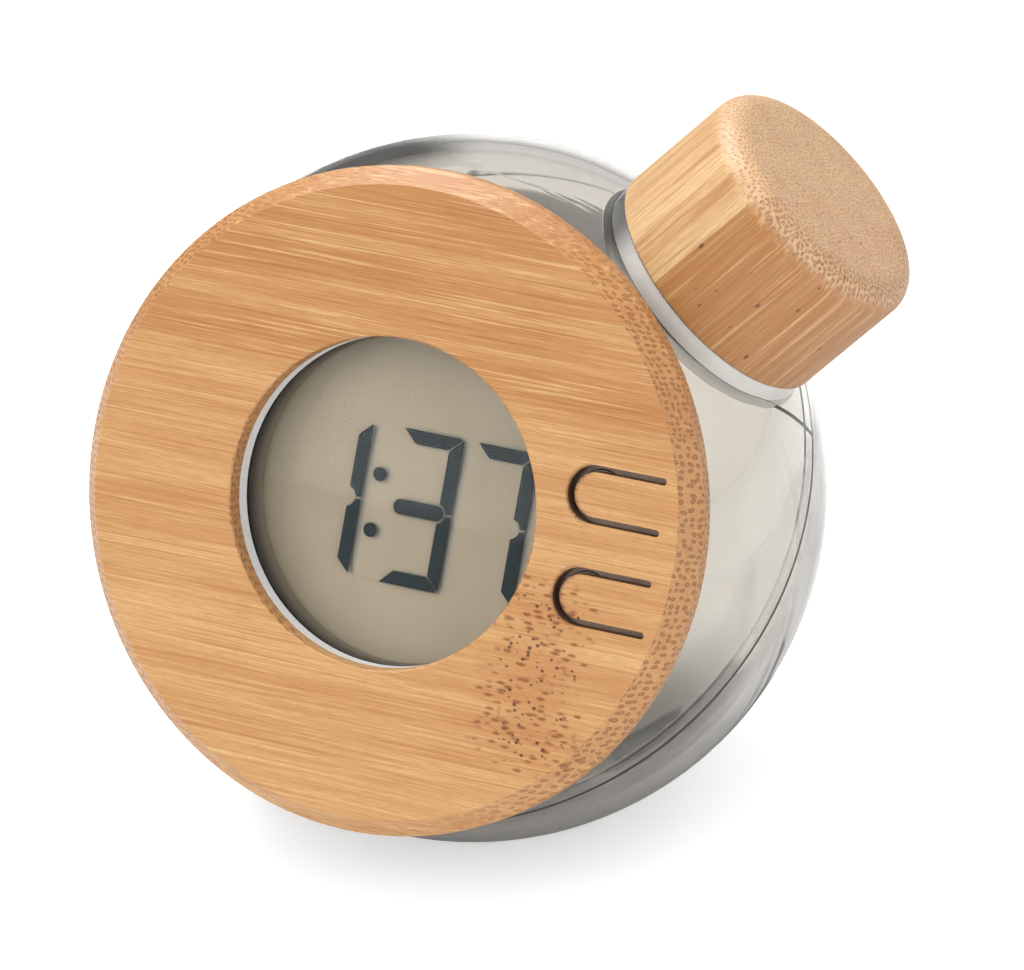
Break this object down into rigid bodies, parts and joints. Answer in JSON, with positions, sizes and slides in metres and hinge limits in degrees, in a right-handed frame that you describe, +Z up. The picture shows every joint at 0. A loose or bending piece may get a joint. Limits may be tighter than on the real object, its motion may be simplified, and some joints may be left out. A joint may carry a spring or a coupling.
{
  "type": "water-powered desk clock",
  "caption": "Round desk clock: smoked clear spherical water tank with a bamboo front plate, a small digital display, flexing push tongues and a bamboo stopper in a slanted neck.",
  "frame": {"origin": "middle of the flat foot under the tank, on the surface it stands on", "axes": "+Z up; the front plate looks towards -Y and leans back; +X to the right seen from the front, the side of the stopper"},
  "size_m": [0.1073, 0.0927, 0.1044],
  "materials": {
    "bamboo_face": "satin",
    "bamboo_stopper": "satin",
    "frame_plastic": "satin moulded",
    "gasket_rubber": "matt",
    "case_plastic": "moulded",
    "screw_steel": "plated",
    "pusher_plastic": "moulded",
    "switch_plastic": "moulded",
    "lens_clear": "polished",
    "holder_black": "moulded",
    "lcd_glass": "polished",
    "lcd_foil": "satin foil",
    "zebra_rubber": "layered",
    "board_green": "solder mask",
    "chip_resin": "resin",
    "crystal_can": "plated can",
    "capacitor_sleeve": "sleeve",
    "zinc": "bare",
    "copper": "bare",
    "tank_clear": "smoked clear",
    "collar_clear": "smoked clear",
    "plug_plastic": "moulded",
    "seal_silicone": "soft"
  },
  "bodies": {
    "clock_body": {"front_plate": "bamboo_face", "front_frame": "frame_plastic", "shell_gasket": "gasket_rubber", "case_seal": "gasket_rubber", "module_case": "case_plastic", "case_screws": "screw_steel", "switch_bodies": "switch_plastic", "window_lens": "lens_clear", "lcd_holder": "holder_black", "lcd_cell": "lcd_glass", "lcd_reflector": "lcd_foil", "zebra_strips": "zebra_rubber", "circuit_board": "board_green", "clock_chip": "chip_resin", "crystal": "crystal_can", "capacitor": "capacitor_sleeve", "zinc_electrode": "zinc", "copper_electrode": "copper", "terminal_studs": "screw_steel", "stud_seals": "gasket_rubber", "terminal_nuts": "screw_steel", "lead_wires": "copper", "front_shell": "tank_clear", "rear_shell": "tank_clear", "neck_collar": "collar_clear"},
    "upper_button": {"button_upper": "bamboo_face"},
    "lower_button": {"button_lower": "bamboo_face"},
    "upper_pusher": {"pusher_upper": "pusher_plastic"},
    "lower_pusher": {"pusher_lower": "pusher_plastic"},
    "stopper": {"stopper_knob": "bamboo_stopper", "stopper_plug": "plug_plastic", "stopper_seal": "seal_silicone", "stopper_screw": "screw_steel"}
  },
  "joints": [
    {"name": "button_upper_flex", "type": "hinge", "parent": "clock_body", "child": "upper_button", "pos_m": [0.03935, -0.02492, 0.06112], "axis": [0, -0.3469, -0.9379], "range_deg": [0, 2.4], "stiffness_Nm_per_rad": 0.1},
    {"name": "pusher_upper_travel", "type": "slide", "parent": "clock_body", "child": "upper_pusher", "axis": [0, 0.9379, -0.3469], "range_m": [0, 0.000395]},
    {"name": "button_lower_flex", "type": "hinge", "parent": "clock_body", "child": "lower_button", "pos_m": [0.03935, -0.02967, 0.04827], "axis": [0, -0.3469, -0.9379], "range_deg": [0, 2.4], "stiffness_Nm_per_rad": 0.1},
    {"name": "pusher_lower_travel", "type": "slide", "parent": "clock_body", "child": "lower_pusher", "axis": [0, 0.9379, -0.3469], "range_m": [0, 0.000395]},
    {"name": "stopper_pull", "type": "slide", "parent": "clock_body", "child": "stopper", "axis": [0.6848, 0.1606, 0.7108], "range_m": [0, 0.032]}
  ],
  "couplings": [
    {"joint": "button_upper_flex", "follows": "pusher_upper_travel", "rad_per_m": 105.82},
    {"joint": "button_lower_flex", "follows": "pusher_lower_travel", "rad_per_m": 105.82}
  ]
}
